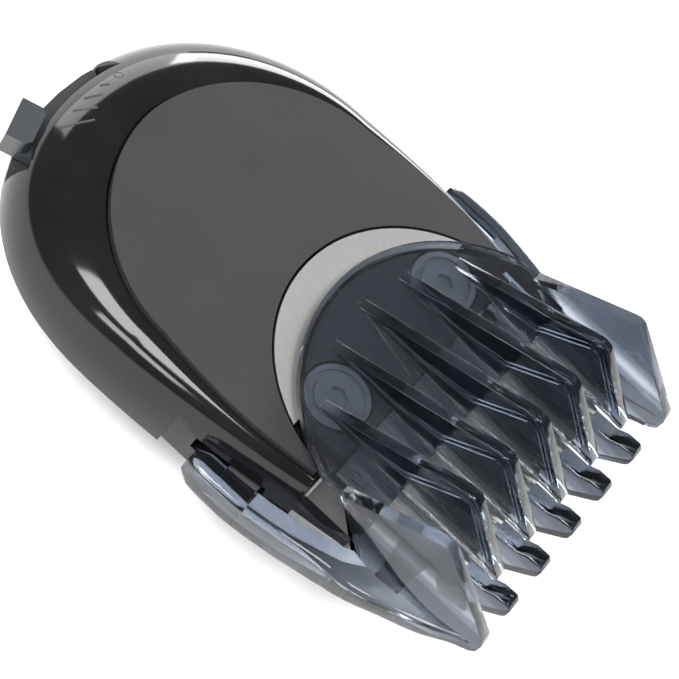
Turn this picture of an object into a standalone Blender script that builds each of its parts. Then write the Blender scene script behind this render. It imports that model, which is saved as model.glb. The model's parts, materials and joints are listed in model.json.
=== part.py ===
"""Click-on clipper head with a sliding guide comb: housing, length selector, cutter and drive.

Sizes are in millimetres and become metres in the helpers. +X points to the comb's teeth, +Z up, and the
origin is on the coupling's lower face, under the middle of the head.
"""

import math

import bmesh
import bpy
from mathutils import Matrix

MM = 0.001
GAP = 0.3  # clearance between pieces that touch

# Housing
AXIS_X = -11.0  # turning axis of the drive and of the selector
REAR_LENGTH = 22.9  # axis to the rear end of the shell
HALF_WIDTH = 22.1
FRONT_X = 12.8
FRONT_NARROWING = 2.4  # clears the comb's arms when it is drawn back
WALL = 1.3
RIM_Z = 8.0
EDGE_Z = 16.3  # where the flank meets the panel
PANEL_TOP_Z = 17.0
PANEL_THICKNESS = 1.2
PANEL_CENTRE_X = -8.0
PANEL_REAR = 17.1
PANEL_HALF_WIDTH = 17.9
DECK = 1.2
FLOOR = 1.0

# Guide comb
TOOTH_PITCH = 6.0
TOOTH_WIDTH = 1.3
FINGER_WIDTH = 2.0
PLATE_Z = PANEL_TOP_Z + GAP
PLATE_THICKNESS = 0.9
PLATE_RADIUS = 19.3
PLATE_CENTRE_X = 19.9
PLATE_FRONT_X = 19.3
TIP_X = 32.0
SIDE_Y = 17.7
SIDE_WIDTH = 1.4
ARM_REAR_X = 2.0
COMB_TRAVEL = 3.0

# Cutter
BLADE_TIP_X = 28.9
BLADE_THICKNESS = 0.6
FIXED_Z = 16.1
FIXED_HALF = 15.9
SCREW_X = 8.5
SCREW_Y = 9.56
SCREW_HEAD_R = 3.6
HOUSING_TOP_Z = 16.9
HOUSING_HALF = 16.3
HOUSING_FRONT_X = 19.5

# Selector
RING_INNER = 15.6
RING_OUTER = 19.9
RING_Z = 9.3
RING_THICKNESS = 1.1
SELECTOR_REST = 19.4  # degrees from the rear, towards -Y
SELECTOR_SWING = 24.2
TAB_WIDTH = 4.9
TAB_END = 24.8
TAB_TOP_Z = 12.5
CAM_RADIUS = 18.8
PIN_R = 0.9

# Coupling and drive
COLLAR_R = 14.5
COLLAR_WALL = 1.8
COLLAR_TOP_Z = 7.7
KEYWAY_HALF = 2.0
KEYWAY_DEPTH = 2.4
HOUSING_SCREW_R = 1.7
POST_CIRCLE = COLLAR_R - COLLAR_WALL - HOUSING_SCREW_R - 0.675
POST_ANGLE = 45.785
POST_X = POST_CIRCLE * math.cos(math.radians(POST_ANGLE))
POST_Y = POST_CIRCLE * math.sin(math.radians(POST_ANGLE))
ECCENTRIC = 0.8
ECCENTRIC_PIN_R = 1.0
FORK_SLOT = ECCENTRIC_PIN_R + 2 * ECCENTRIC + GAP  # half width: pin and lever each move by ECCENTRIC
FORK_HALF = FORK_SLOT + 1.2
LEVER_Z = 12.3
LEVER_THICKNESS = 1.1
PIVOT_X = 0.0
LEVER_FRONT_X = 19.0


def new_collection(name):
    collection = bpy.data.collections.new(name)
    bpy.context.scene.collection.children.link(collection)
    return collection


for old in list(bpy.data.objects):
    bpy.data.objects.remove(old, do_unlink=True)
PARTS = new_collection("click_on_clipper_head")
CUTTERS = new_collection("cutters")


def material(name, color, roughness, metallic=0.0):
    made = bpy.data.materials.new(name)
    made.use_nodes = True
    shader = made.node_tree.nodes["Principled BSDF"]
    shader.inputs["Base Color"].default_value = (*color, 1.0)
    shader.inputs["Roughness"].default_value = roughness
    shader.inputs["Metallic"].default_value = metallic
    return made


GLOSS_BLACK = material("gloss_black", (0.02, 0.02, 0.022), 0.12)
SOFT_BLACK = material("soft_black", (0.05, 0.052, 0.054), 0.5)
SATIN_SILVER = material("satin_silver", (0.6, 0.6, 0.58), 0.35, 1.0)
SMOKE = material("smoke_plastic", (0.16, 0.19, 0.23), 0.1)
GREY_PLASTIC = material("grey_plastic", (0.2, 0.21, 0.22), 0.4)
DARK_PLASTIC = material("dark_plastic", (0.06, 0.06, 0.065), 0.5)
STEEL = material("steel", (0.62, 0.62, 0.6), 0.3, 1.0)
WHITE_PLASTIC = material("acetal", (0.75, 0.75, 0.72), 0.45)
RUBBER = material("rubber", (0.03, 0.03, 0.03), 0.8)


def finish(obj, name, look, collection=None):
    """Names the object, gives it its material and puts it with the parts or with the cutters."""
    obj.name = name
    if look is not None:
        obj.data.materials.clear()
        obj.data.materials.append(look)
    for holder in list(obj.users_collection):
        holder.objects.unlink(obj)
    (collection or PARTS).objects.link(obj)
    return obj


def plate(name, outlines, low, high, look=None, upright=False, collection=None):
    """A flat piece: a filled 2D curve, extruded along Z, or along Y when upright (points are X, Z)."""
    curve = bpy.data.curves.new(name, "CURVE")
    curve.dimensions = "2D"
    curve.fill_mode = "BOTH"
    curve.extrude = (high - low) / 2 * MM
    for outline in outlines:
        spline = curve.splines.new("POLY")
        spline.points.add(len(outline) - 1)
        for point, (x, y) in zip(spline.points, outline):
            point.co = (x * MM, y * MM, 0.0, 1.0)
        spline.use_cyclic_u = True
    made = bpy.data.objects.new(name, curve)
    bpy.context.scene.collection.objects.link(made)
    middle = (low + high) / 2 * MM
    if upright:
        made.rotation_euler = (math.pi / 2, 0.0, 0.0)
        made.location = (0.0, middle, 0.0)
    else:
        made.location = (0.0, 0.0, middle)
    bpy.context.view_layer.update()
    graph = bpy.context.evaluated_depsgraph_get()
    mesh = bpy.data.meshes.new_from_object(made.evaluated_get(graph))
    mesh.transform(made.matrix_world)
    bpy.data.objects.remove(made)
    weld(mesh)
    return finish(bpy.data.objects.new(name, mesh), name, look, collection)


def weld(mesh):
    work = bmesh.new()
    work.from_mesh(mesh)
    bmesh.ops.remove_doubles(work, verts=work.verts, dist=1e-6)
    bmesh.ops.recalc_face_normals(work, faces=work.faces)
    work.to_mesh(mesh)
    work.free()


def cylinder(name, x, y, low, high, radius, look=None, collection=None, sides=24):
    mesh = bpy.data.meshes.new(name)
    work = bmesh.new()
    bmesh.ops.create_cone(
        work, cap_ends=True, segments=sides, radius1=radius * MM, radius2=radius * MM, depth=(high - low) * MM
    )
    work.to_mesh(mesh)
    work.free()
    mesh.shade_smooth()
    mesh.set_sharp_from_angle(angle=math.radians(35))
    made = finish(bpy.data.objects.new(name, mesh), name, look, collection)
    made.location = (x * MM, y * MM, (low + high) / 2 * MM)
    return made


def box(name, x, y, z, look=None, collection=None):
    """A box from three (low, high) pairs."""
    mesh = bpy.data.meshes.new(name)
    work = bmesh.new()
    bmesh.ops.create_cube(work, size=1.0)
    for axis, (low, high) in enumerate((x, y, z)):
        for vertex in work.verts:
            vertex.co[axis] = ((low + high) / 2 + vertex.co[axis] * (high - low)) * MM
    work.to_mesh(mesh)
    work.free()
    return finish(bpy.data.objects.new(name, mesh), name, look, collection)


def turned(name, x, y, profile, look, steps=40, collection=None):
    """A turned piece. Its (radius, z) points run down the outer side, and it may end on the axis."""
    mesh = bpy.data.meshes.new(name)
    points = [(r * MM, 0.0, z * MM) for r, z in profile]
    count = len(points)
    closing = 0 if profile[0][0] == profile[-1][0] == 0.0 else 1
    mesh.from_pydata(points, [(i, (i + 1) % count) for i in range(count - 1 + closing)], [])
    made = finish(bpy.data.objects.new(name, mesh), name, look, collection)
    screw = made.modifiers.new("turn", "SCREW")
    screw.steps = screw.render_steps = steps
    screw.use_merge_vertices = True
    screw.merge_threshold = 1e-6
    screw.use_smooth_shade = False
    made.location = (x * MM, y * MM, 0.0)
    return made


def loft(name, rings, look=None, collection=None):
    """A closed solid through rings of equally many (x, y, z) points, with flat ends."""
    mesh = bpy.data.meshes.new(name)
    work = bmesh.new()
    made = [[work.verts.new([c * MM for c in point]) for point in ring] for ring in rings]
    count = len(rings[0])
    for lower, upper in zip(made, made[1:]):
        for i in range(count):
            j = (i + 1) % count
            work.faces.new((lower[i], lower[j], upper[j], upper[i]))
    work.faces.new(list(reversed(made[0])))
    work.faces.new(made[-1])
    bmesh.ops.triangulate(work, faces=work.faces)
    bmesh.ops.recalc_face_normals(work, faces=work.faces)
    work.to_mesh(mesh)
    work.free()
    return finish(bpy.data.objects.new(name, mesh), name, look, collection)


def combine(target, others, operation="DIFFERENCE"):
    """Cuts the other objects out of the target, or joins them to it."""
    for other in others:
        if other.name not in CUTTERS.objects:
            finish(other, other.name, None, CUTTERS)
        other.hide_render = True
        other.display_type = "WIRE"
        change = target.modifiers.new(other.name, "BOOLEAN")
        change.operation = operation
        change.solver = "EXACT"
        change.object = other


def join(target, others):
    combine(target, others, "UNION")


def arc(cx, cy, radius, start, end, count):
    """Points on an arc, from start to end in degrees."""
    angles = [math.radians(start + (end - start) * i / count) for i in range(count + 1)]
    return [(cx + radius * math.cos(a), cy + radius * math.sin(a)) for a in angles]


def circle(cx, cy, radius, count=32):
    return arc(cx, cy, radius, 0, 360, count)[:-1]


def rectangle(x0, x1, y0, y1):
    return [(x0, y0), (x1, y0), (x1, y1), (x0, y1)]


def egg(centre, length, half, squareness, front, side, rear_steps=24, side_steps=6, front_steps=4):
    """A closed plan outline: a superelliptic rear, sides of half width side(u) and a straight front."""
    points = []
    for i in range(rear_steps + 1):
        angle = math.pi / 2 + math.pi * i / rear_steps
        c, s = math.cos(angle), math.sin(angle)
        x = -length * abs(c) ** (2 / squareness)
        y = math.copysign(half * abs(s) ** (2 / squareness), s)
        points.append((centre + x, y))
    for i in range(1, side_steps + 1):
        u = i / side_steps
        points.append((centre + (front - centre) * u, -side(u)))
    for i in range(1, front_steps):
        points.append((front, side(1.0) * (2 * i / front_steps - 1)))
    for i in range(side_steps, 0, -1):
        u = i / side_steps
        points.append((centre + (front - centre) * u, side(u)))
    return points


def rim_outline(inset=0.0):
    half = HALF_WIDTH - inset

    def side(u):
        return half - FRONT_NARROWING * u * u

    return egg(AXIS_X, REAR_LENGTH - inset, half, 2.2, FRONT_X - inset, side)


def panel_outline(inset=0.0, front=FRONT_X - 0.6):
    half = PANEL_HALF_WIDTH - inset
    reach = (FRONT_X - 0.6 - PANEL_CENTRE_X) / 23.0

    def side(u):
        return half + 0.95 * math.sin(math.pi * u * reach) - 0.6 * (u * reach) ** 2

    return egg(PANEL_CENTRE_X, PANEL_REAR - inset, half, 1.9, front - inset, side)


def dome(name, inset_rim, inset_panel, low, base, top, floor=None):
    """The flank is a quarter ellipse from the rim outline, at the base, up to the panel's outline.

    With a floor, the top is sunk to that height inside the panel's outline.
    """
    outer, inner = rim_outline(inset_rim), panel_outline(inset_panel)
    rings = [[(x, y, low) for x, y in outer]]
    for i in range(7):
        angle = math.pi / 2 * (1 - i / 6)
        share = math.sin(angle)
        z = base + (top - base) * math.cos(angle)
        rings.append([(ix + (ox - ix) * share, iy + (oy - iy) * share, z)
                      for (ox, oy), (ix, iy) in zip(outer, inner)])
    if low >= base:
        rings.pop(0)
    if floor is not None:
        rings.append([(x, y, floor) for x, y in inner])
    return loft(name, rings)


def sector(name, radius, reach, start, end, low, high):
    """A ring sector around the selector's axis, as a cutter; angles in degrees from the rear, +Y positive."""
    cx, cy = AXIS_X, -1.6
    inner = arc(cx, cy, radius, 180 - start, 180 - end, 16)
    outer = arc(cx, cy, reach, 180 - end, 180 - start, 16)
    return plate(name, [inner + outer], low, high, collection=CUTTERS)


def make_shell():
    recess_z = PANEL_TOP_Z - PANEL_THICKNESS - GAP
    shell = finish(dome("top_shell", 0.0, 0.0, RIM_Z, RIM_Z, EDGE_Z, recess_z), "top_shell", GLOSS_BLACK)
    inside = dome("shell_inside", WALL, GAP, RIM_Z - 1, RIM_Z, recess_z - DECK)
    wings = [
        box(f"shell_wing_{i}", (0.0, FRONT_X - WALL + 0.5), sorted((side * 6.0, side * 15.9)), (13.1, 14.5))
        for i, side in enumerate((-1, 1))
    ]
    posts = [cylinder(f"shell_post_{i}", x, y, RIM_Z + FLOOR + GAP, recess_z - DECK + 0.1, 1.9, sides=16)
             for i, (x, y) in enumerate(post_places())]
    combine(shell, [inside])
    join(shell, wings + posts)
    opening = plate("cutter_opening", [cutter_outline(HOUSING_HALF - 0.4, 18.7, FRONT_X + 1)], 14.5, 18,
                    collection=CUTTERS)
    lever_way = box("lever_way", (-1.0, FRONT_X + 1), (-6.0, 6.0), (11.9, 15.0))
    tab_gap = sector("selector_gap", 21.0, 30.0, -29, 17, RIM_Z - 1, EDGE_Z)
    neck_gap = sector("neck_gap", 18.0, 30.0, -29, 17, RIM_Z - 1, RING_Z + RING_THICKNESS + GAP)
    pin_x = AXIS_X + CAM_RADIUS
    wide = 2 * HALF_WIDTH
    ears = box("ear_slot", (pin_x - 3.6 - COMB_TRAVEL, pin_x + 1.8), (-wide, wide), (10.4, 12.3))
    groove_x = (ARM_REAR_X - COMB_TRAVEL - 2 * GAP, FRONT_X + 1)
    grooves = [box(f"arm_groove_{i}", groove_x, sorted((s * (HALF_WIDTH - 1.0), s * wide)), (RIM_Z - 1, 12.4))
               for i, s in enumerate((-1, 1))]
    bores = [cylinder(f"post_bore_{i}", x, y, RIM_Z, recess_z - DECK - 0.6, 1.1, sides=16)
             for i, (x, y) in enumerate(post_places())]
    wing_bores = [cylinder(f"wing_bore_{i}", SCREW_X, s * SCREW_Y, 12, 15, 1.5, sides=16)
                  for i, s in enumerate((-1, 1))]
    combine(shell, [opening, lever_way, tab_gap, neck_gap, ears] + grooves + bores + wing_bores)


def post_places():
    return [(AXIS_X + sx * POST_X, sy * POST_Y) for sx in (-1, 1) for sy in (-1, 1)]


def cutter_outline(half, radius, front):
    """The plan of the cutter's seat: round at the rear, about the comb plate's centre."""
    reach = math.degrees(math.asin(half / radius))
    return arc(PLATE_CENTRE_X, 0, radius, 180 - reach, 180 + reach, 20) + [(front, -half), (front, half)]


def make_panel():
    low = PANEL_TOP_Z - PANEL_THICKNESS
    panel = plate("top_panel", [panel_outline(GAP, FRONT_X - 0.6)], low, PANEL_TOP_Z, SOFT_BLACK)
    hole = cylinder("panel_trim_hole", 13.6, 0, low - 1, PANEL_TOP_Z + 1, 16.8, sides=56)
    sides = plate("panel_comb_hole", [cutter_outline(16.2, 19.1, FRONT_X + 2)], low - 1, PANEL_TOP_Z + 1,
                  collection=CUTTERS)
    combine(panel, [hole, sides])


def make_trim():
    low = PANEL_TOP_Z - PANEL_THICKNESS
    trim = cylinder("silver_trim", 13.6, 0, low, PANEL_TOP_Z - 0.05, 16.5, SATIN_SILVER, sides=56)
    hole = cylinder("trim_hole", PLATE_CENTRE_X, 0, low - 1, PANEL_TOP_Z + 1, 18.8, sides=56)
    front = box("trim_front", (7.2, 40), (-30, 30), (low - 1, PANEL_TOP_Z + 1))
    combine(trim, [hole, front])


def make_cover():
    cover = plate("bottom_cover", [rim_outline(WALL + GAP), circle(AXIS_X, 0, 3.7)]
                  + [circle(x, y, 1.3, 12) for x, y in post_places()], RIM_Z, RIM_Z + FLOOR, DARK_PLASTIC)
    ledge = plate("cover_ledge", [rim_outline(0.05)], RIM_Z, RIM_Z + FLOOR - 0.1, collection=CUTTERS)
    inside = sector("ledge_limit", 19.5, 30.0, -28.2, 16.2, RIM_Z - 1, RIM_Z + FLOOR + 1)
    combine(ledge, [inside], "INTERSECT")
    pin = cylinder("cover_pin_seat", PIVOT_X, 0, RIM_Z + FLOOR - 0.2, 11.9, 2.2, sides=24)
    pin_hole = cylinder("cover_pin_hole", PIVOT_X, 0, RIM_Z + 0.4, 13, 1.3, sides=24)
    join(cover, [ledge, pin])
    combine(cover, [pin_hole])


def make_collar():
    inner = COLLAR_R - COLLAR_WALL
    profile = [(COLLAR_R, COLLAR_TOP_Z), (COLLAR_R, 5.0), (COLLAR_R + 0.7, 4.6), (COLLAR_R + 0.7, 3.4),
               (COLLAR_R, 3.0), (COLLAR_R, 0.0), (inner, 0.0), (inner, COLLAR_TOP_Z - 1.0),
               (5.2, COLLAR_TOP_Z - 1.0), (5.2, COLLAR_TOP_Z)]
    collar = turned("coupling_collar", AXIS_X, 0, profile, DARK_PLASTIC, 40)
    holes = [cylinder(f"collar_bore_{i}", x, y, 6, 9, 1.1, sides=12)
             for i, (x, y) in enumerate(post_places())]
    across = (AXIS_X - 2 * COLLAR_R, AXIS_X + 2 * COLLAR_R)
    keyways = box("collar_keyways", across, (-KEYWAY_HALF, KEYWAY_HALF), (-1.0, KEYWAY_DEPTH))
    combine(collar, holes + [keyways])


def make_housing_screws():
    for i, (x, y) in enumerate(post_places(), 1):
        head_top = COLLAR_TOP_Z - 1.0 - GAP
        profile = [(0.0, 13.2), (0.8, 13.2), (0.8, head_top), (HOUSING_SCREW_R, head_top),
                   (HOUSING_SCREW_R, head_top - 1.0),
                   (0.7, head_top - 1.2), (0.7, head_top - 0.6), (0.0, head_top - 0.6)]
        turned(f"housing_screw_{i}", x, y, profile, STEEL, 12)


def make_drive():
    turned("spindle_bush", AXIS_X, 0, [(3.4, 10.5), (3.4, RIM_Z - GAP), (1.8, RIM_Z - GAP), (1.8, 10.5)],
           WHITE_PLASTIC, 24)
    turned("spindle_seal", AXIS_X, 0, [(3.3, 7.4), (3.3, 6.9), (1.8, 6.9), (1.8, 7.4)], RUBBER, 24)
    shaft = [(0.0, 12.0), (1.5, 12.0), (1.5, 6.6), (4.2, 6.4), (4.2, 2.0), (0.0, 2.0)]
    spindle = turned("drive_spindle", AXIS_X, 0, shaft, DARK_PLASTIC, 24)
    lobes = [box(f"socket_lobe_{i}", (-0.7, 2.9), (-0.8, 0.8), (1.0, 5.2)) for i in range(3)]
    for i, lobe in enumerate(lobes):
        lobe.location = (AXIS_X * MM, 0, 0)
        lobe.rotation_euler = (0, 0, math.radians(120 * i))
    flat = box("shaft_flat", (AXIS_X + 1.1, AXIS_X + 3), (-3, 3), (11.0, 13.0))
    combine(spindle, lobes + [flat])
    disc = cylinder("eccentric_disc", AXIS_X, 0, 10.8, 11.9, 2.9, STEEL)
    pin = cylinder("eccentric_pin", AXIS_X + ECCENTRIC, 0, 12.3, LEVER_Z + LEVER_THICKNESS + 0.2,
                   ECCENTRIC_PIN_R, sides=24)
    neck = cylinder("eccentric_neck", AXIS_X, 0, 11.5, 12.4, 2.4, sides=24)
    shaft_hole = cylinder("disc_hole", AXIS_X, 0, 10, 12.1, 1.8, sides=24)
    join(disc, [neck])
    combine(disc, [shaft_hole])
    join(disc, [pin])


def make_lever():
    low, high = LEVER_Z + 0.3, LEVER_Z + LEVER_THICKNESS
    outline = (
        arc(LEVER_FRONT_X - 0.2, 0, 1.4, -90, 90, 8)
        + [(5.0, 1.4), (2.6, 2.6), (-2.6, 2.6), (-6.0, FORK_HALF), (-13.6, FORK_HALF),
           (-13.6, FORK_SLOT)]
        + arc(AXIS_X + 2.4, 0, FORK_SLOT, 90, -90, 8)
        + [(-13.6, -FORK_SLOT), (-13.6, -FORK_HALF), (-6.0, -FORK_HALF), (-2.6, -2.6), (2.6, -2.6),
           (5.0, -1.4)]
    )
    lever = plate("drive_lever", [outline, circle(PIVOT_X, 0, 1.35, 24)], low, high, WHITE_PLASTIC)
    finger = cylinder("lever_finger", LEVER_FRONT_X, 0, high - 0.5, 14.8, 0.8, sides=20)
    join(lever, [finger])
    foot = RIM_Z + 0.7
    turned("lever_pin", PIVOT_X, 0, [(0.0, 14.1), (1.0, 14.1), (1.0, foot), (0.0, foot)], STEEL, 16)
    turned("lever_clip", PIVOT_X, 0, [(2.2, 14.0), (2.2, 13.7), (1.15, 13.7), (1.15, 14.0)], STEEL, 16)


def teeth_outline(rear, tip, half, pitch, depth):
    """A blade's plan: straight rear and sides, and V teeth along the front."""
    points = [(rear, half), (rear, -half)]
    count = int(round(2 * half / pitch))
    step = 2 * half / count
    for i in range(count):
        y = -half + step * i
        points += [(tip - depth, y), (tip, y + 0.3 * step), (tip, y + 0.6 * step)]
    points.append((tip - depth, half))
    return points


def make_cutter():
    pegs = [(14.3, 10.0), (14.3, -10.0)]
    fixed = [teeth_outline(13.5, BLADE_TIP_X, FIXED_HALF, 1.25, 2.6)]
    fixed += [circle(x, y, 1.1, 16) for x, y in pegs]
    plate("fixed_blade", fixed, FIXED_Z, FIXED_Z + BLADE_THICKNESS, STEEL)
    moving_half = FIXED_HALF - 2.6
    moving = [teeth_outline(15.6, BLADE_TIP_X - 0.4, moving_half, 1.25, 2.4)] + [
        circle(18.6, y, 1.1, 16) for y in (-6.5, 6.5)]
    plate("moving_blade", moving, FIXED_Z - GAP - BLADE_THICKNESS, FIXED_Z - GAP, STEEL)
    top = FIXED_Z - GAP - BLADE_THICKNESS - GAP
    slot = rectangle(17.6, 20.2, -1.15, 1.15)
    carrier = plate("blade_carrier", [rectangle(16.8, 20.9, -9.0, 9.0), slot], 13.8, top, WHITE_PLASTIC)
    join(carrier, [cylinder(f"carrier_peg_{i}", 18.6, y, top - 0.4, top + 0.7, 0.8, sides=16)
                   for i, y in enumerate((-6.5, 6.5))])


def make_cutter_housing():
    half = HOUSING_HALF - 0.7
    housing = plate("cutter_housing", [cutter_outline(half, 18.4, 15.2)], 14.8, HOUSING_TOP_Z, GREY_PLASTIC)
    wall_x = (13.1, HOUSING_FRONT_X)
    walls = [box(f"housing_wall_{i}", wall_x, sorted((s * 15.1, s * HOUSING_HALF)), (8.3, 15.8))
             for i, s in enumerate((-1, 1))]
    chin = box("housing_chin", (13.1, HOUSING_FRONT_X), (-HOUSING_HALF, HOUSING_HALF), (8.3, 9.3))
    front = box("housing_front", (18.5, HOUSING_FRONT_X), (-HOUSING_HALF, HOUSING_HALF), (8.3, 11.9))
    step = box("housing_step", (13.2, 16.0), (-20, 20), (15.8, 18))
    pegs = [cylinder(f"blade_peg_{i}", 14.3, y, 15.4, 16.6, 0.8, sides=16)
            for i, y in enumerate((-10.0, 10.0))]
    heads = [cylinder(f"head_seat_{i}", SCREW_X, s * SCREW_Y, 15.7, 18, SCREW_HEAD_R + GAP, sides=28)
             for i, s in enumerate((-1, 1))]
    bores = [cylinder(f"screw_bore_{i}", SCREW_X, s * SCREW_Y, 14, 17, 1.5, sides=16)
             for i, s in enumerate((-1, 1))]
    combine(housing, [step])
    join(housing, walls + [chin, front] + pegs)
    combine(housing, heads + bores)


def make_clamp_screws():
    for side, name in ((-1, "clamp_screw_left"), (1, "clamp_screw_right")):
        top = HOUSING_TOP_Z
        profile = [(0.0, top), (2.5, top), (2.5, top - 0.25), (3.0, top - 0.25), (3.0, top),
                   (SCREW_HEAD_R, top), (SCREW_HEAD_R, 16.0), (1.2, 16.0), (1.2, 12.5), (0.0, 12.5)]
        screw = turned(name, SCREW_X, side * SCREW_Y, profile, GREY_PLASTIC, 28)
        socket = cylinder(f"hex_{name}", SCREW_X, side * SCREW_Y, top - 0.6, top + 1, 1.15, sides=6)
        combine(screw, [socket])


def wire(name, points, radius, look):
    """A bent wire: a bevelled curve with filled ends."""
    curve = bpy.data.curves.new(name, "CURVE")
    curve.dimensions = "3D"
    curve.bevel_depth = radius * MM
    curve.bevel_resolution = 2
    curve.use_fill_caps = True
    spline = curve.splines.new("POLY")
    spline.points.add(len(points) - 1)
    for point, place in zip(spline.points, points):
        point.co = (*[c * MM for c in place], 1.0)
    return finish(bpy.data.objects.new(name, curve), name, look)


def make_blade_spring():
    half = [(18.8, 6.0, 13.35), (18.0, 7.2, 13.4), (15.2, 10.2, 13.9), (14.4, 10.6, 14.2), (14.2, 9.6, 14.3),
            (14.2, 3.0, 14.3)]
    path = half + [(x, -y, z) for x, y, z in reversed(half)]
    wire("blade_spring", path, 0.2, STEEL)


def cam_slot():
    """The selector's spiral slot: its centre line draws in by the comb's travel over the swing."""
    swing = math.radians(SELECTOR_SWING)
    half = PIN_R + 0.4
    inner, outer = [], []
    for i in range(-3, 20):
        turn = swing * i / 16
        radius = CAM_RADIUS - COMB_TRAVEL * i / 16
        inner.append((AXIS_X + (radius - half) * math.cos(turn), (radius - half) * math.sin(turn)))
        outer.append((AXIS_X + (radius + half) * math.cos(turn), (radius + half) * math.sin(turn)))
    return inner + outer[::-1]


def make_selector():
    high = RING_Z + RING_THICKNESS
    ring = (arc(AXIS_X, 0, RING_OUTER, 45, 320, 44) + arc(AXIS_X, 0, CAM_RADIUS + 2.8, -34, 42, 20))
    hole = arc(AXIS_X, 0, RING_INNER, 60, 88, 6) + notch_row() + arc(AXIS_X, 0, RING_INNER, 118, 300, 30) \
        + arc(AXIS_X, 0, CAM_RADIUS - COMB_TRAVEL - 1.9, -40, 50, 20)
    selector = plate("length_selector", [ring, hole, cam_slot()], RING_Z, high, GREY_PLASTIC)
    angle = math.radians(180 + SELECTOR_REST)
    c, s = math.cos(angle), math.sin(angle)

    def at(radius, aside):
        return (AXIS_X + radius * c - aside * s, radius * s + aside * c)

    half = TAB_WIDTH / 2
    neck_plan = [at(19.0, -half), at(23.0, -half), at(23.0, half), at(19.0, half)]
    neck = plate("tab_neck", [neck_plan], RING_Z, high, collection=CUTTERS)
    tab = plate("tab_grip", [[at(22.0, -half + 0.6), at(22.6, -half), at(TAB_END, -half), at(TAB_END, half),
                              at(22.6, half), at(22.0, half - 0.6)]], RING_Z, TAB_TOP_Z, collection=CUTTERS)
    join(selector, [neck, tab])
    turned_origin(selector)


def notch_row():
    """Five shallow click notches in the ring's inner edge."""
    points = []
    for i in range(5):
        middle = 92.0 + i * SELECTOR_SWING / 4
        points += arc(AXIS_X, 0, RING_INNER, middle - 2.2, middle - 1.6, 1)
        points += arc(AXIS_X, 0, RING_INNER + 0.45, middle - 0.8, middle + 0.8, 2)
        points += arc(AXIS_X, 0, RING_INNER, middle + 1.6, middle + 2.2, 1)
    return points


def turned_origin(obj):
    """Moves the object's origin to the selector's axis without moving its shape."""
    shift = AXIS_X * MM
    obj.data.transform(Matrix.Translation((-shift, 0.0, 0.0)))
    obj.location.x += shift


def make_detent():
    path = arc(AXIS_X, 0, 14.2, 84, 104, 8)
    back = arc(AXIS_X, 0, 13.7, 104, 84, 8)
    nub = arc(AXIS_X, 0, 14.95, 91.2, 92.8, 2)
    outline = path[:3] + nub + path[5:] + back
    plate("detent_spring", [outline], RIM_Z + FLOOR + GAP, RING_Z + RING_THICKNESS, STEEL)


def make_carriage():
    pin_x = AXIS_X + CAM_RADIUS
    bar = HALF_WIDTH - 2.6
    ear = HALF_WIDTH + 0.3
    carriage = box("comb_carriage", (pin_x - 3.2, pin_x + 1.4), (-bar, bar), (10.7, 12.0), DARK_PLASTIC)
    ears = box("carriage_ears", (pin_x - 2.4, pin_x + 1.2), (-ear, ear), (10.7, 12.0))
    pin = cylinder("cam_pin", pin_x, 0, RING_Z, 11.0, PIN_R, sides=20)
    middle = box("carriage_waist", (pin_x - 6.0, pin_x - 1.3), (-3.0, 3.0), (9, 13))
    join(carriage, [ears, pin])
    combine(carriage, [middle])


def make_comb():
    top = PLATE_Z + PLATE_THICKNESS
    half = SIDE_Y + SIDE_WIDTH / 2
    reach = math.degrees(math.asin(half / PLATE_RADIUS))
    body = plate("guide_comb", [arc(PLATE_CENTRE_X, 0, PLATE_RADIUS, 180 - reach, 180 + reach, 24)
                                + [(PLATE_FRONT_X, -half), (PLATE_FRONT_X, half)]], PLATE_Z, top, SMOKE)
    pieces = [fin(i) for i in range(-2, 3)] + [finger(i) for i in range(-2, 3)]
    pieces += [side_plate(s) for s in (-1, 1)] + [arm(s) for s in (-1, 1)]
    pieces.append(box("comb_crossbar", (23.0, 26.0), (-half + 0.2, half - 0.2), (9.8, 11.9)))
    join(body, pieces)
    pin_x = AXIS_X + CAM_RADIUS
    groove_x = (ARM_REAR_X - 2, pin_x + 1.5)
    inner, outer = HALF_WIDTH - 2.1, HALF_WIDTH + 0.6
    combine(body, [box(f"ear_groove_{i}", groove_x, sorted((s * inner, s * outer)), (10.4, 12.3))
                   for i, s in enumerate((-1, 1))])


def fin(index):
    """An inner upper tooth: a ridge rising to the front, a round shoulder and a slanted front edge."""
    rear = 3.6 + 1.05 * index * index
    low = PLATE_Z
    outline = [(rear, low), (rear, low + PLATE_THICKNESS + 0.1), (23.4, 24.9), (24.6, 25.2), (25.8, 25.0),
               (26.6, 24.3), (TIP_X - 0.2, low + 0.5), (TIP_X, low - 0.1), (TIP_X - 0.3, low - 0.3),
               (TIP_X - 2.0, low), (PLATE_FRONT_X, low)]
    y = index * TOOTH_PITCH
    return plate(f"fin_{index + 2}", [outline], y - TOOTH_WIDTH / 2, y + TOOTH_WIDTH / 2, upright=True,
                 collection=CUTTERS)


def finger(index):
    """A lower tooth, rooted on the crossbar under the blades."""
    outline = [(23.2, 10.0), (25.0, 14.6), (26.0, 14.85), (29.8, 14.9), (31.9, 14.95), (33.2, 15.7),
               (34.7, 15.8), (35.2, 15.2), (35.2, 14.0), (34.9, 13.5), (32.5, 11.0), (28.0, 10.0)]
    y = index * TOOTH_PITCH
    return plate(f"finger_{index + 2}", [outline], y - FINGER_WIDTH / 2, y + FINGER_WIDTH / 2, upright=True,
                 collection=CUTTERS)


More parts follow.
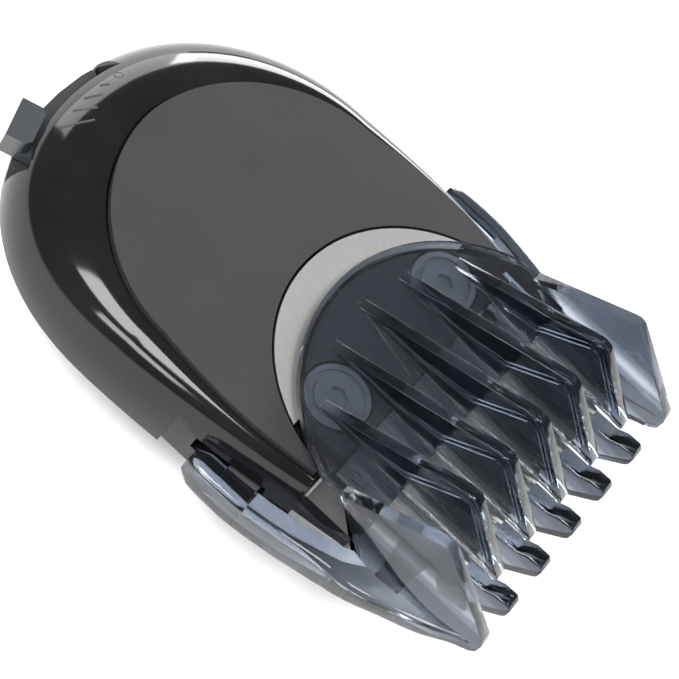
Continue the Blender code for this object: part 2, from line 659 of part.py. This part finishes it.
def side_plate(side):
    outline = [(16.1, PLATE_Z), (15.0, PLATE_Z + PLATE_THICKNESS), (24.6, 23.9), (26.0, 24.2), (27.0, 23.6),
               (34.7, 16.6), (35.15, 15.6), (35.1, 14.2), (34.6, 13.5), (30.0, 10.6), (24.0, 9.4),
               (21.6, 9.4), (21.2, 11.6)]
    y = side * SIDE_Y
    return plate(f"side_plate_{side + 1}", [outline], y - SIDE_WIDTH / 2, y + SIDE_WIDTH / 2, upright=True,
                 collection=CUTTERS)


def arm(side):
    """A side arm, swept forward from its rear end and drawn in to the side plate's lower edge."""
    wide = HALF_WIDTH
    flare = HALF_WIDTH - SIDE_Y
    stations = [  # x, inner y, outer y, low z, high z
        (ARM_REAR_X, wide - 0.4, wide + 1.9, 9.3, 11.3),
        (ARM_REAR_X + 1.5, wide - 0.5, wide + 2.0, 9.0, 11.7),
        (8.0, wide - 0.6, wide + 2.0, 8.8, 12.5),
        (14.0, wide - 1.5, wide + 1.2, 8.8, 12.6),
        (19.0, SIDE_Y + 0.2955 * flare, SIDE_Y + 1.0455 * flare, 8.9, 12.3),
        (22.0, SIDE_Y - 0.5, SIDE_Y + 0.8864 * flare, 9.0, 12.0),
        (26.0, SIDE_Y - 0.6, SIDE_Y + 0.5909 * flare, 9.4, 12.2),
        (30.0, SIDE_Y - 0.65, SIDE_Y + 0.3636 * flare, 10.4, 13.2),
        (34.0, SIDE_Y - 0.65, SIDE_Y + 0.1818 * flare, 12.9, 15.0),
    ]
    rings = []
    for x, inner, outer, low, high in stations:
        soft = min(0.5, (outer - inner) / 4)
        ring = [(x, inner, low), (x, outer - soft, low), (x, outer, low + soft),
                (x, outer - 0.2, high - soft),
                (x, outer - 0.2 - soft, high), (x, inner, high)]
        rings.append([(px, side * py, pz) for px, py, pz in ring])
    return loft(f"arm_{side + 1}", rings, collection=CUTTERS)


make_shell()
make_panel()
make_trim()
make_cover()
make_collar()
make_housing_screws()
make_drive()
make_lever()
make_cutter()
make_cutter_housing()
make_clamp_screws()
make_blade_spring()
make_selector()
make_detent()
make_carriage()
make_comb()
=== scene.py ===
"""Looks for the clipper head: materials, finer pieces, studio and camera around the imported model.

Blender works in metres. Shapes here are written in millimetres and scaled by MM as they are made.
+X is the front, where the teeth are, and +Z is up.
"""

import json
import math

import bmesh
import bpy
from mathutils import Matrix, Vector
from mathutils.bvhtree import BVHTree


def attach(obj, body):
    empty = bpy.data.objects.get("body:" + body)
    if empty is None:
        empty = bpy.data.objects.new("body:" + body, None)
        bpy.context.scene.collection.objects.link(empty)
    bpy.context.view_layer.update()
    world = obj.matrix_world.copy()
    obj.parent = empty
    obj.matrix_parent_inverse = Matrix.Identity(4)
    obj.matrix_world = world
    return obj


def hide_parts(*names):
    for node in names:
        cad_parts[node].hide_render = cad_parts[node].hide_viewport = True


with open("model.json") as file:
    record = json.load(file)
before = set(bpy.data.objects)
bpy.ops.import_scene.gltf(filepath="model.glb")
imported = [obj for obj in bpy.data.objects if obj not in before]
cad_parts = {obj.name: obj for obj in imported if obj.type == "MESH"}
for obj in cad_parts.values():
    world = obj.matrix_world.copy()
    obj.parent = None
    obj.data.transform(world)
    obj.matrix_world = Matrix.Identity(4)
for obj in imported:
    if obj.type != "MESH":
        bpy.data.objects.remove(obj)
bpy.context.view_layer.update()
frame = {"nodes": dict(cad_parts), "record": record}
NODES = frame["nodes"]
MM = 0.001


# ---------------------------------------------------------------- materials
def principled(name, **inputs):
    """A node material: its Principled shader, and the node tree for more."""
    made = bpy.data.materials.new(name)
    made.use_nodes = True
    shader = made.node_tree.nodes["Principled BSDF"]
    for key, value in inputs.items():
        shader.inputs[key.replace("_", " ")].default_value = value
    return made, shader, made.node_tree


def coordinates(tree, scale=(1, 1, 1)):
    where = tree.nodes.new("ShaderNodeTexCoord")
    mapping = tree.nodes.new("ShaderNodeMapping")
    mapping.inputs["Scale"].default_value = scale
    tree.links.new(where.outputs["Object"], mapping.inputs["Vector"])
    return mapping.outputs["Vector"]


def noise(tree, vector, scale, detail=3.0):
    made = tree.nodes.new("ShaderNodeTexNoise")
    made.inputs["Scale"].default_value = scale
    made.inputs["Detail"].default_value = detail
    tree.links.new(vector, made.inputs["Vector"])
    return made.outputs["Fac"]


def ramp(tree, factor, low, high, start=0.3, end=0.7):
    made = tree.nodes.new("ShaderNodeValToRGB")
    made.color_ramp.elements[0].position = start
    made.color_ramp.elements[1].position = end
    made.color_ramp.elements[0].color = (*low, 1)
    made.color_ramp.elements[1].color = (*high, 1)
    tree.links.new(factor, made.inputs["Fac"])
    return made.outputs["Color"]


def map_range(tree, value, start, end, low=0.0, high=1.0):
    made = tree.nodes.new("ShaderNodeMapRange")
    made.inputs["From Min"].default_value = start
    made.inputs["From Max"].default_value = end
    made.inputs["To Min"].default_value = low
    made.inputs["To Max"].default_value = high
    tree.links.new(value, made.inputs["Value"])
    return made.outputs["Result"]


def roughness_range(tree, shader, factor, low, high):
    tree.links.new(map_range(tree, factor, 0.0, 1.0, low, high), shader.inputs["Roughness"])


def position(tree):
    """The place on the object, split into X, Y and Z."""
    where = tree.nodes.new("ShaderNodeTexCoord")
    split = tree.nodes.new("ShaderNodeSeparateXYZ")
    tree.links.new(where.outputs["Object"], split.inputs["Vector"])
    return split.outputs


def bump(tree, shader, factor, strength, distance):
    made = tree.nodes.new("ShaderNodeBump")
    made.inputs["Strength"].default_value = strength
    made.inputs["Distance"].default_value = distance
    tree.links.new(factor, made.inputs["Height"])
    tree.links.new(made.outputs["Normal"], shader.inputs["Normal"])


def plastic(name, low, high, rough, grain_scale, grain, coat=0.0, coat_rough=0.05, specular=0.5):
    """Moulded plastic: cloudy colour, uneven gloss and a fine grain."""
    made, shader, tree = principled(name)
    shader.inputs["Specular IOR Level"].default_value = specular
    shader.inputs["Coat Weight"].default_value = coat
    shader.inputs["Coat Roughness"].default_value = coat_rough
    cloud = noise(tree, coordinates(tree), 90, 4)
    tree.links.new(ramp(tree, cloud, low, high), shader.inputs["Base Color"])
    roughness_range(tree, shader, cloud, rough[0], rough[1])
    bump(tree, shader, noise(tree, coordinates(tree), grain_scale, 2), grain, 0.00005)
    return made


def metal(name, low, high, rough, stretch, strength=0.25):
    """Ground or satin metal: long fine lines, because the noise is stretched."""
    made, shader, tree = principled(name, Metallic=1.0)
    lines = noise(tree, coordinates(tree, stretch), 1.0, 3)
    tree.links.new(ramp(tree, lines, low, high), shader.inputs["Base Color"])
    roughness_range(tree, shader, lines, rough[0], rough[1])
    bump(tree, shader, lines, strength, 0.00002)
    return made


TINT_TOP = 26  # height in millimetres where the clear plastic's tint scale ends


def clear_plastic(name, bands, rough):
    """Tinted clear plastic. bands are (height in mm, colour): thin walls are pale and the teeth are deep."""
    made, shader, tree = principled(name, Transmission_Weight=0.985, IOR=1.46)
    height = map_range(tree, position(tree)["Z"], 0.0, TINT_TOP * MM)
    tint = tree.nodes.new("ShaderNodeValToRGB")
    stops = tint.color_ramp.elements
    while len(stops) < len(bands):
        stops.new(0.5)
    for stop, (z, _) in zip(stops, bands):
        stop.position = z / TINT_TOP
    for stop, (_, color) in zip(stops, bands):
        stop.color = (*color, 1)
    tree.links.new(height, tint.inputs["Fac"])
    flow = noise(tree, coordinates(tree, (60, 260, 120)), 1.0, 2)
    vary = tree.nodes.new("ShaderNodeMix")
    vary.data_type = "RGBA"
    vary.blend_type = "MULTIPLY"
    vary.inputs["Factor"].default_value = 1.0
    tree.links.new(tint.outputs["Color"], vary.inputs[6])
    tree.links.new(ramp(tree, flow, (0.86, 0.86, 0.88), (1, 1, 1)), vary.inputs[7])
    tree.links.new(vary.outputs[2], shader.inputs["Base Color"])
    roughness_range(tree, shader, flow, rough[0], rough[1])
    return made


GLOSS = plastic("gloss_shell", (0.004, 0.004, 0.005), (0.008, 0.008, 0.009), (0.07, 0.12), 1500, 0.02,
                specular=0.34)
SOFT = plastic("soft_panel", (0.017, 0.018, 0.019), (0.021, 0.022, 0.023), (0.50, 0.58), 9000, 0.16,
               specular=0.24)
SATIN = metal("satin_trim", (0.60, 0.60, 0.585), (0.64, 0.635, 0.62), (0.32, 0.37), (2500, 2500, 300), 0.02)
PALE, MID, DEEP = (0.42, 0.46, 0.515), (0.30, 0.335, 0.385), (0.070, 0.086, 0.115)
COMB_TINT = [(8, MID), (12.3, MID), (13.0, DEEP), (16.6, DEEP), (17.2, PALE), (18.3, PALE), (19.2, DEEP),
             (25, DEEP)]
SMOKE = clear_plastic("smoke_comb", COMB_TINT, (0.04, 0.08))
GREY = plastic("grey_plastic", (0.30, 0.305, 0.31), (0.36, 0.365, 0.37), (0.34, 0.42), 5000, 0.12)
SEAT = plastic("seat_plastic", (0.060, 0.063, 0.067), (0.080, 0.083, 0.087), (0.34, 0.42), 5000, 0.12)
DARK = plastic("dark_plastic", (0.020, 0.021, 0.023), (0.028, 0.029, 0.031), (0.34, 0.44), 5000, 0.15)
SELECTOR = plastic("selector_plastic", (0.030, 0.034, 0.039), (0.040, 0.044, 0.050), (0.24, 0.32), 4000, 0.1,
                   coat=0.3, coat_rough=0.15)
BLADE = metal("blade_steel", (0.42, 0.42, 0.41), (0.64, 0.64, 0.62), (0.22, 0.36), (300, 5000, 300))
STEEL = metal("steel", (0.50, 0.50, 0.50), (0.64, 0.64, 0.63), (0.22, 0.32), (1500, 1500, 1500))
ACETAL = plastic("acetal", (0.68, 0.68, 0.65), (0.76, 0.76, 0.73), (0.30, 0.38), 4000, 0.08)
RUBBER = plastic("rubber", (0.016, 0.016, 0.016), (0.024, 0.024, 0.024), (0.7, 0.8), 7000, 0.3)
PRINT = plastic("printed_mark", (0.010, 0.010, 0.011), (0.016, 0.016, 0.017), (0.5, 0.6), 4000, 0.05)

FINISH = {
    "gloss_shell": GLOSS, "soft_panel": SOFT, "satin_trim": SATIN, "smoke_comb": SMOKE,
    "grey_plastic": GREY, "dark_plastic": DARK, "selector_plastic": SELECTOR, "blade_steel": BLADE,
    "steel": STEEL, "acetal": ACETAL, "rubber": RUBBER,
}

for part in frame["record"]["subparts"]:
    node = NODES[part["node"]]
    node.data.materials.clear()
    node.data.materials.append(FINISH[part["material_slot"]])

SEAT_TOP, SEAT_SIDE = 16.7, 14.3  # painted shade darkens the cutter housing except above and between these, in millimetres


def paint_shade_away_from_top(material, color):
    """Paints shade: the material falls to this colour below the cutter seat's top face and along its two side
    rims.
    """
    tree = material.node_tree
    shader = tree.nodes["Principled BSDF"]
    base = shader.inputs["Base Color"].links[0].from_socket
    place = position(tree)
    above = map_range(tree, place["Z"], (SEAT_TOP - 0.2) * MM, SEAT_TOP * MM)
    aside = tree.nodes.new("ShaderNodeMath")
    aside.operation = "ABSOLUTE"
    tree.links.new(place["Y"], aside.inputs[0])
    between_rims = map_range(tree, aside.outputs[0], SEAT_SIDE * MM, (SEAT_SIDE + 0.2) * MM, 1.0, 0.0)
    both = tree.nodes.new("ShaderNodeMath")
    both.operation = "MULTIPLY"
    tree.links.new(above, both.inputs[0])
    tree.links.new(between_rims, both.inputs[1])
    mix = tree.nodes.new("ShaderNodeMix")
    mix.data_type = "RGBA"
    mix.inputs[6].default_value = (*color, 1)
    tree.links.new(both.outputs[0], mix.inputs["Factor"])
    tree.links.new(base, mix.inputs[7])
    tree.links.new(mix.outputs[2], shader.inputs["Base Color"])


NODES["cutter_housing"].data.materials[0] = SEAT
# Painted shade: the cutter housing goes near black below its top face and outside its rims.
paint_shade_away_from_top(SEAT, (0.012, 0.012, 0.013))


# ---------------------------------------------------------------- edges: rounded and smooth
def shade(piece, angle):
    piece.data.shade_smooth()
    piece.data.set_sharp_from_angle(angle=math.radians(angle))


def bevel(piece, name, width, segments, angle):
    change = piece.modifiers.new(name, "BEVEL")
    change.width = width * MM
    change.segments = segments
    change.limit_method = "ANGLE"
    change.angle_limit = math.radians(angle)
    return change


for part in frame["record"]["subparts"]:
    shade(NODES[part["node"]], 32)
bevel(NODES["length_selector"], "rounded_edges", 0.2, 2, 32).harden_normals = True


# ---------------------------------------------------------------- fine solids
def solid(name, rings):
    """A closed mesh through rings of equally many (x, y, z) points in millimetres."""
    mesh = bpy.data.meshes.new(name)
    work = bmesh.new()
    made = [[work.verts.new([c * MM for c in point]) for point in ring] for ring in rings]
    count = len(rings[0])
    for lower, upper in zip(made, made[1:]):
        for i in range(count):
            j = (i + 1) % count
            work.faces.new((lower[i], lower[j], upper[j], upper[i]))
    work.faces.new(list(reversed(made[0])))
    work.faces.new(made[-1])
    bmesh.ops.triangulate(work, faces=work.faces)
    bmesh.ops.recalc_face_normals(work, faces=work.faces)
    work.to_mesh(mesh)
    work.free()
    made = bpy.data.objects.new(name, mesh)
    bpy.context.scene.collection.objects.link(made)
    return made


def prism(name, outline, low, high):
    return solid(name, [[(x, y, low) for x, y in outline], [(x, y, high) for x, y in outline]])


def block(name, xs, ys, zs):
    return prism(name, [(xs[0], ys[0]), (xs[1], ys[0]), (xs[1], ys[1]), (xs[0], ys[1])], *zs)


def upright(name, outline, low, high):
    """A plate whose (x, z) outline stands along X, from low to high in Y."""
    return solid(name, [[(x, low, z) for x, z in outline], [(x, high, z) for x, z in outline]])


def volume(piece):
    work = bmesh.new()
    work.from_mesh(piece.data)
    size = work.calc_volume() / MM ** 3
    work.free()
    return size


def open_edges(piece):
    work = bmesh.new()
    work.from_mesh(piece.data)
    count = sum(1 for edge in work.edges if not edge.is_manifold)
    work.free()
    return count


def join(target, others):
    """Joins pieces one at a time, and stops the script if one is lost or the result isn't closed."""
    for other in others:
        least = max(volume(target), volume(other)) - 0.5
        apply_all(target, [other], "UNION")
        if volume(target) < least or open_edges(target):
            raise RuntimeError(f"{target.name} was spoiled while its pieces were joined")


def apply_all(target, others, operation):
    for other in others:
        change = target.modifiers.new(other.name, "BOOLEAN")
        change.operation = operation
        change.solver = "MANIFOLD"
        change.object = other
    bpy.context.view_layer.update()
    shape = target.evaluated_get(bpy.context.evaluated_depsgraph_get())
    mesh = bpy.data.meshes.new_from_object(shape)
    target.modifiers.clear()
    target.data = mesh
    for other in others:
        bpy.data.objects.remove(other, do_unlink=True)


def show(piece, look, body, node, angle=32, edge=0.0):
    """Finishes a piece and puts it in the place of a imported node."""
    piece.data.materials.clear()
    piece.data.materials.append(look)
    shade(piece, angle)
    if edge:
        bevel(piece, "rounded_edges", edge, 3, angle).harden_normals = True
    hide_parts(node)
    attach(piece, body)


def arc(cx, cy, radius, start, end, count):
    angles = [math.radians(start + (end - start) * i / count) for i in range(count + 1)]
    return [(cx + radius * math.cos(a), cy + radius * math.sin(a)) for a in angles]


# ---------------------------------------------------------------- housing shell
AXIS_X, FRONT_X = -11.0, 12.8  # centre of the round rear end, and the front end
PANEL_FRONT = FRONT_X - 0.6
RIM_Z, EDGE_Z = 8.0, 16.3  # the shell's lower rim, and its edge round the panel
PLATE_X = 19.9  # centre of the comb plate's arc and of what is cut out around it
CRESCENT_X = 13.6  # centre of the crescent's outer arc
SELECTOR_Y = -1.6  # the selector turns about (AXIS_X, SELECTOR_Y)
TAB_START, TAB_END = -29, 17  # ends of the opening for the selector's tab, in degrees from the rear
SHELL_WALL = 1.3
ARM_GROOVE_Y = 21.1  # where the grooves for the comb's arms begin
EAR_Z = (10.4, 12.3)  # heights of the slots for the carriage's ears, in the shell and in the comb's arms


def plate_outline(radius, half, front, count):
    """An outline with a round back about the comb plate's centre and a straight front."""
    reach = math.degrees(math.asin(half / radius))
    return arc(PLATE_X, 0, radius, 180 - reach, 180 + reach, count) + [(front, -half), (front, half)]


def egg(centre, length, half, squareness, front, side, rear=120, flank=30):
    """A superellipse behind centre, then two flanks whose half width is side(share of the way forward)."""
    points = []
    for i in range(rear + 1):
        angle = math.pi / 2 + math.pi * i / rear
        c, s = math.cos(angle), math.sin(angle)
        points.append((centre - length * abs(c) ** (2 / squareness),
                       math.copysign(half * abs(s) ** (2 / squareness), s)))
    points += [(centre + (front - centre) * i / flank, -side(i / flank)) for i in range(1, flank + 1)]
    points += [(centre + (front - centre) * i / flank, side(i / flank)) for i in range(flank, 0, -1)]
    return points


def rim(inset):
    half = 22.1 - inset
    return egg(AXIS_X, 22.9 - inset, half, 2.2, FRONT_X - inset, lambda u: half - 2.4 * u * u)


def panel_edge(inset, front):
    half, reach = 17.9 - inset, (PANEL_FRONT + 8.0) / 23.0
    return egg(-8.0, 17.1 - inset, half, 1.9, front - inset,
               lambda u: half + 0.95 * math.sin(math.pi * u * reach) - 0.6 * (u * reach) ** 2)


def flank_rings(outer, inner, base, top, steps=26):
    """Rings that round over from the outer outline at base to the inner one at top."""
    rings = []
    for i in range(steps + 1):
        angle = math.pi / 2 * (1 - i / steps)
        share, z = math.sin(angle), base + (top - base) * math.cos(angle)
        rings.append([(ix + (ox - ix) * share, iy + (oy - iy) * share, z)
                      for (ox, oy), (ix, iy) in zip(outer, inner)])
    return rings


def selector_sector(name, start, end, near, low, high):
    inner = arc(AXIS_X, SELECTOR_Y, near, 180 - start, 180 - end, 48)
    outer = arc(AXIS_X, SELECTOR_Y, 30.0, 180 - end, 180 - start, 48)
    return prism(name, inner + outer, low, high)


def cheek(side):
    """Carries one front corner of the shell forward over the comb's arm; top_shell itself stops short."""
    outline = [(12.6, side * 18.75), (18.9, side * 18.75), (18.9, side * 19.3), (12.6, side * 20.3)]
    return prism(f"cheek_{side}", outline[::side], 13.35, 14.5)


def fine_shell():
    edge = panel_edge(0.0, PANEL_FRONT)
    shell = solid("fine_shell", flank_rings(rim(0.0), edge, RIM_Z, EDGE_Z) + [[(x, y, 15.5) for x, y in edge]])
    inside = solid("inside", [[(x, y, 7.0) for x, y in rim(SHELL_WALL)]]
                   + flank_rings(rim(SHELL_WALL), panel_edge(0.3, PANEL_FRONT), RIM_Z, 14.3, 12))
    cutters = [inside,
               prism("opening", plate_outline(18.7, 15.9, 13.8, 40), 14.3, 18),
               block("lever_way", (-1, 13.8), (-6, 6), (11.9, 15)),
               selector_sector("tab_gap", TAB_START, TAB_END, 21.0, 7, EDGE_Z),
               selector_sector("neck_gap", TAB_START, TAB_END, 18.0, 7, 10.7),
               block("ears", (1.2, 9.6), (-44, 44), EAR_Z)]
    cutters += [block(f"groove_{s}", (-1.6, 13.8), sorted((s * ARM_GROOVE_Y, s * 44)), (7, 13.4))
                for s in (-1, 1)]
    apply_all(shell, cutters, "DIFFERENCE")
    join(shell, [cheek(side) for side in (-1, 1)])
    show(shell, GLOSS, "housing", "top_shell", angle=28)
    return shell


SHELL = fine_shell()


def fine_panel():
    panel = prism("fine_panel", panel_edge(0.3, PANEL_FRONT), 15.8, 17.0)
    hole = prism("trim_hole", arc(CRESCENT_X, 0, 16.8, 0, 360, 160)[:-1], 15, 18)
    seat = prism("comb_hole", plate_outline(19.1, 16.2, 14.8, 60), 15, 18)
    apply_all(panel, [hole, seat], "DIFFERENCE")
    show(panel, SOFT, "housing", "top_panel", edge=0.16)


fine_panel()


def fine_trim():
    trim = prism("fine_trim", arc(CRESCENT_X, 0, 16.5, 0, 360, 200)[:-1], 15.8, 16.95)
    hole = prism("hole", arc(PLATE_X, 0, 18.8, 0, 360, 200)[:-1], 15, 18)
    apply_all(trim, [hole, block("front", (7.2, 40), (-30, 30), (15, 18))], "DIFFERENCE")
    show(trim, SATIN, "housing", "silver_trim", edge=0.1)


fine_trim()


# ---------------------------------------------------------------- guide comb
TOOTH_PITCH = 6.0
COMB_Z, PLATE_TOP = 17.3, 18.2  # underside and top of the comb's plate
PLATE_RADIUS, PLATE_FRONT = 19.3, 19.3
TOOTH_HALF, WEB_HALF, FINGER_HALF = 0.65, 0.36, 1.0  # half thicknesses


def rounded(piece, width):
    """Rounds a piece's sharp edges for good, before it is joined to others."""
    bevel(piece, "round", width, 3, 30)
    bpy.context.view_layer.update()
    mesh = bpy.data.meshes.new_from_object(piece.evaluated_get(bpy.context.evaluated_depsgraph_get()))
    piece.modifiers.clear()
    piece.data = mesh
    return piece


def corner(before, at, after, radius, count=5):
    """Points that round off one corner of an outline."""
    a, b, c = Vector(before), Vector(at), Vector(after)
    start, end = b + (a - b).normalized() * radius, b + (c - b).normalized() * radius
    points = []
    for i in range(count + 1):
        t = i / count
        points.append(tuple(start * (1 - t) ** 2 + b * 2 * t * (1 - t) + end * t * t))
    return points


def fine_tooth(index):
    """An upper tooth: a thick rim around a thinner web, on a wedge that starts as a point."""
    rear, y = 3.6 + 1.05 * index * index, index * TOOTH_PITCH
    top = corner((rear, PLATE_TOP), (24.7, 25.3), (32.0, 17.4), 1.3)
    outline = ([(rear, COMB_Z), (rear, PLATE_TOP)] + top
               + [(31.85, 17.75), (32.0, 17.2), (31.7, 17.0), (30.0, COMB_Z)])
    tooth = rounded(upright(f"tooth_{index + 2}", outline, y - TOOTH_HALF, y + TOOTH_HALF), 0.28)
    window = ([(18.5, 19.6)] + corner((18.5, 19.6), (24.5, 24.0), (29.9, 18.2), 1.0)
              + [(29.9, 18.2), (27.0, 18.5)])
    webs = [upright(f"web_{i}", window, *sorted((y + s * WEB_HALF, y + s * 2)))
            for i, s in enumerate((-1, 1))]
    apply_all(tooth, webs, "DIFFERENCE")
    ends = [(rear + 0.1, 0.22, 0.12, 18.35), (PLATE_FRONT - 0.2, 1.5, 0.3, 20.4)]  # x, base, crest, height
    rings = [[(x, y - base, 17.75), (x, y + base, 17.75), (x, y + crest, high), (x, y - crest, high)]
             for x, base, crest, high in ends]
    return [tooth, solid(f"wedge_{index + 2}", rings)]


def fine_finger(index):
    """A lower tooth, which runs under the blade and turns up at its tip."""
    outline = [(23.2, 10.0), (25.0, 14.6), (26.0, 14.85), (29.8, 14.9), (31.9, 14.95), (33.2, 15.7),
               (34.7, 15.8), (35.2, 15.2), (35.2, 14.0), (34.9, 13.5), (32.5, 11.0), (28.0, 10.0)]
    y = index * TOOTH_PITCH
    return rounded(upright(f"finger_{index + 2}", outline, y - FINGER_HALF, y + FINGER_HALF), 0.25)


def fine_side(side):
    """The outer plate, which is an upper and a lower tooth in one."""
    outline = ([(16.1, COMB_Z), (15.0, 18.2)] + corner((15.0, 18.2), (25.9, 24.5), (34.9, 16.4), 1.1)
               + [(34.7, 16.6), (35.15, 15.6), (35.1, 14.2), (34.6, 13.5), (30.0, 10.6), (24.0, 9.4),
                  (21.6, 9.4), (21.2, 11.6)])
    return rounded(upright(f"side_{side + 1}", outline, *sorted((side * 17.0, side * 18.4))), 0.28)


# The comb's arm at each x: inner face, outer face, underside and top.
STATIONS = [(2.0, 22.0, 23.5, 9.9, 12.4), (3.2, 21.6, 24.0, 9.0, 12.95), (8.0, 21.5, 24.1, 8.8, 13.1),
            (14.0, 20.6, 23.3, 8.8, 13.1), (19.0, 19.0, 22.3, 8.9, 12.8), (22.0, 17.2, 21.6, 9.0, 12.0),
            (26.0, 17.1, 20.3, 9.4, 12.2), (30.0, 17.05, 19.3, 10.4, 13.2), (34.0, 17.05, 18.5, 12.9, 15.0)]


def between(x):
    """The arm's section at x: a smooth curve through the stations."""
    xs = [s[0] for s in STATIONS]
    i = max(k for k in range(len(xs) - 1) if xs[k] <= x)
    t = (x - xs[i]) / (xs[i + 1] - xs[i])
    rows = [STATIONS[max(0, min(len(xs) - 1, i + k))] for k in (-1, 0, 1, 2)]
    values = []
    for c in range(1, 5):
        p0, p1, p2, p3 = (row[c] for row in rows)
        value = 0.5 * (2 * p1 + (p2 - p0) * t + (2 * p0 - 5 * p1 + 4 * p2 - p3) * t * t
                       + (3 * p1 - p0 - 3 * p2 + p3) * t ** 3)
        values.append(min(max(value, min(p1, p2) - 0.05), min(max(p1, p2) + 0.05, 24.1)))
    return values


def fine_arm(side):
    rings = []
    for i in range(49):
        x = 2.0 + 32.0 * i / 48
        inner, outer, low, high = between(min(x, 33.999))
        soft = min(0.7, (outer - inner) / 3, (high - low) / 3)  # radius of the two outer edges
        turn = [math.radians(15 * k) for k in range(7)]
        ring = [(x, inner, low)]
        ring += [(x, outer - soft + soft * math.sin(a), low + soft - soft * math.cos(a)) for a in turn]
        ring += [(x, outer - soft + soft * math.cos(a), high - soft + soft * math.sin(a)) for a in turn]
        ring.append((x, inner, high))
        rings.append([(px, side * py, pz) for px, py, pz in ring])
    return solid(f"arm_{side + 1}", rings)


def fine_comb():
    half = 17.85  # ends inside the side plates, clear of their outer faces
    outline = plate_outline(PLATE_RADIUS, half, PLATE_FRONT, 110)
    comb = rounded(prism("fine_comb", outline, COMB_Z, PLATE_TOP), 0.2)
    lip = (arc(PLATE_X, 0, PLATE_RADIUS - 0.15, 180 - 68, 180 + 68, 90)
           + arc(PLATE_X, 0, 18.45, 180 + 68, 180 - 68, 90))
    pieces = [prism("lip", lip, 18.0, 18.42)]
    for index in range(-2, 3):
        pieces += fine_tooth(index) + [fine_finger(index)]
    for side in (-1, 1):
        pieces += [fine_side(side), fine_arm(side)]
    pieces.append(block("crossbar", (23.05, 25.95), (-17.6, 17.6), (9.85, 11.85)))
    join(comb, pieces)
    slots = [block(f"ear_{s}", (0.0, 9.3), sorted((s * 20.0, s * 22.7)), EAR_Z) for s in (-1, 1)]
    apply_all(comb, slots, "DIFFERENCE")
    show(comb, SMOKE, "comb", "guide_comb", angle=34)


fine_comb()


# ---------------------------------------------------------------- printed length marks
SHELL_TREE = BVHTree.FromPolygons([v.co for v in SHELL.data.vertices],
                                  [p.vertices[:] for p in SHELL.data.polygons])
MARK_SINK = 0.00008  # how far a mark's centre line lies under the shell's surface, in metres


def shell_height(x, y):
    hit = SHELL_TREE.ray_cast(Vector((x, y, 0.05)), Vector((0, 0, -1)))[0]
    return hit.z if hit else None


def mark(name, points, width):
    """A thin printed line that lies on the shell through these (x, y) points, in millimetres."""
    curve = bpy.data.curves.new(name, "CURVE")
    curve.dimensions = "3D"
    curve.bevel_depth = width * MM / 2
    curve.bevel_resolution = 2
    curve.use_fill_caps = True
    line = curve.splines.new("POLY")
    line.points.add(len(points) - 1)
    for point, (x, y) in zip(line.points, points):
        point.co = (x * MM, y * MM, shell_height(x * MM, y * MM) - MARK_SINK, 1)
    made = bpy.data.objects.new(name, curve)
    bpy.context.scene.collection.objects.link(made)
    curve.materials.append(PRINT)
    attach(made, "housing")


BARS = (((-30.6, 0.2), (-30.0, 0.9)), ((-30.7, -2.2), (-29.6, -0.8)), ((-30.5, -4.2), (-28.9, -2.6)),
        ((-30.1, -6.7), (-28.1, -4.1)))
for i, (start, end) in enumerate(BARS, 1):
    shares = [k / 6 for k in range(7)]
    mark(f"length_mark_{i}", [(start[0] + (end[0] - start[0]) * share, start[1] + (end[1] - start[1]) * share)
                              for share in shares], 0.36)
RING_X, RING_Y, RING_RADIUS = -30.1, 2.6, 0.42
mark("length_mark_ring", [(RING_X + RING_RADIUS * math.cos(math.radians(a)),
                           RING_Y + RING_RADIUS * math.sin(math.radians(a))) for a in range(0, 361, 20)], 0.22)


# ---------------------------------------------------------------- studio
# name, place, what it points at, size, power; metres and watts
LIGHTS = (
    ("key", (-0.18, -0.30, 0.55), (0, 0, 0.01), (0.35, 0.35), 6.5),
    ("far_softbox", (-0.08, 0.50, 0.13), (-0.01, 0, 0.01), (0.55, 0.16), 4.2),
    ("floor_wash", (0.25, 0.05, 0.70), (0.05, 0, 0), (0.3, 0.3), 4.0),
    ("rear_softbox", (-0.36, 0.26, 0.10), (-0.02, 0, 0.01), (0.32, 0.18), 0.9),
    ("near_window", (-0.10, -0.42, 0.20), (0, 0, 0.01), (0.14, 0.08), 0.5),
)


def area_light(name, place, target, size, power):
    data = bpy.data.lights.new(name, "AREA")
    data.shape = "RECTANGLE"
    data.size, data.size_y = size
    data.energy = power
    made = bpy.data.objects.new(name, data)
    bpy.context.scene.collection.objects.link(made)
    made.location = place
    made.rotation_euler = (Vector(target) - Vector(place)).to_track_quat("-Z", "Y").to_euler()


def studio():
    mesh = bpy.data.meshes.new("floor")
    shape = bmesh.new()
    bmesh.ops.create_grid(shape, x_segments=1, y_segments=1, size=1.5)
    shape.to_mesh(mesh)
    shape.free()
    floor = bpy.data.objects.new("floor", mesh)
    bpy.context.scene.collection.objects.link(floor)
    floor.location.z = -0.0002  # just under the part, so that the two faces don't fight
    mesh.materials.append(principled("pale_floor", Base_Color=(0.93, 0.93, 0.93, 1), Roughness=0.9)[0])

    world = bpy.data.worlds.new("studio")
    bpy.context.scene.world = world
    world.use_nodes = True
    sky = world.node_tree.nodes["Background"]
    sky.inputs["Color"].default_value = (1, 1, 1, 1)
    sky.inputs["Strength"].default_value = 0.20
    for light in LIGHTS:
        area_light(*light)


def camera():
    right = Vector((0.729, 0.565, 0.381)).normalized()
    back = Vector((0.015, -0.569, 0.821))
    back = (back - right * back.dot(right)).normalized()
    up = back.cross(right)
    data = bpy.data.cameras.new("camera")
    data.lens = 143.15
    data.sensor_width = 36
    data.clip_start = 0.01
    made = bpy.data.objects.new("camera", data)
    bpy.context.scene.collection.objects.link(made)
    turn = Matrix((right, up, back)).transposed().to_4x4()
    made.matrix_world = Matrix.Translation((0.00832, -0.15742, 0.23726)) @ turn
    bpy.context.scene.camera = made


studio()
camera()
bpy.context.scene.view_settings.view_transform = "Standard"
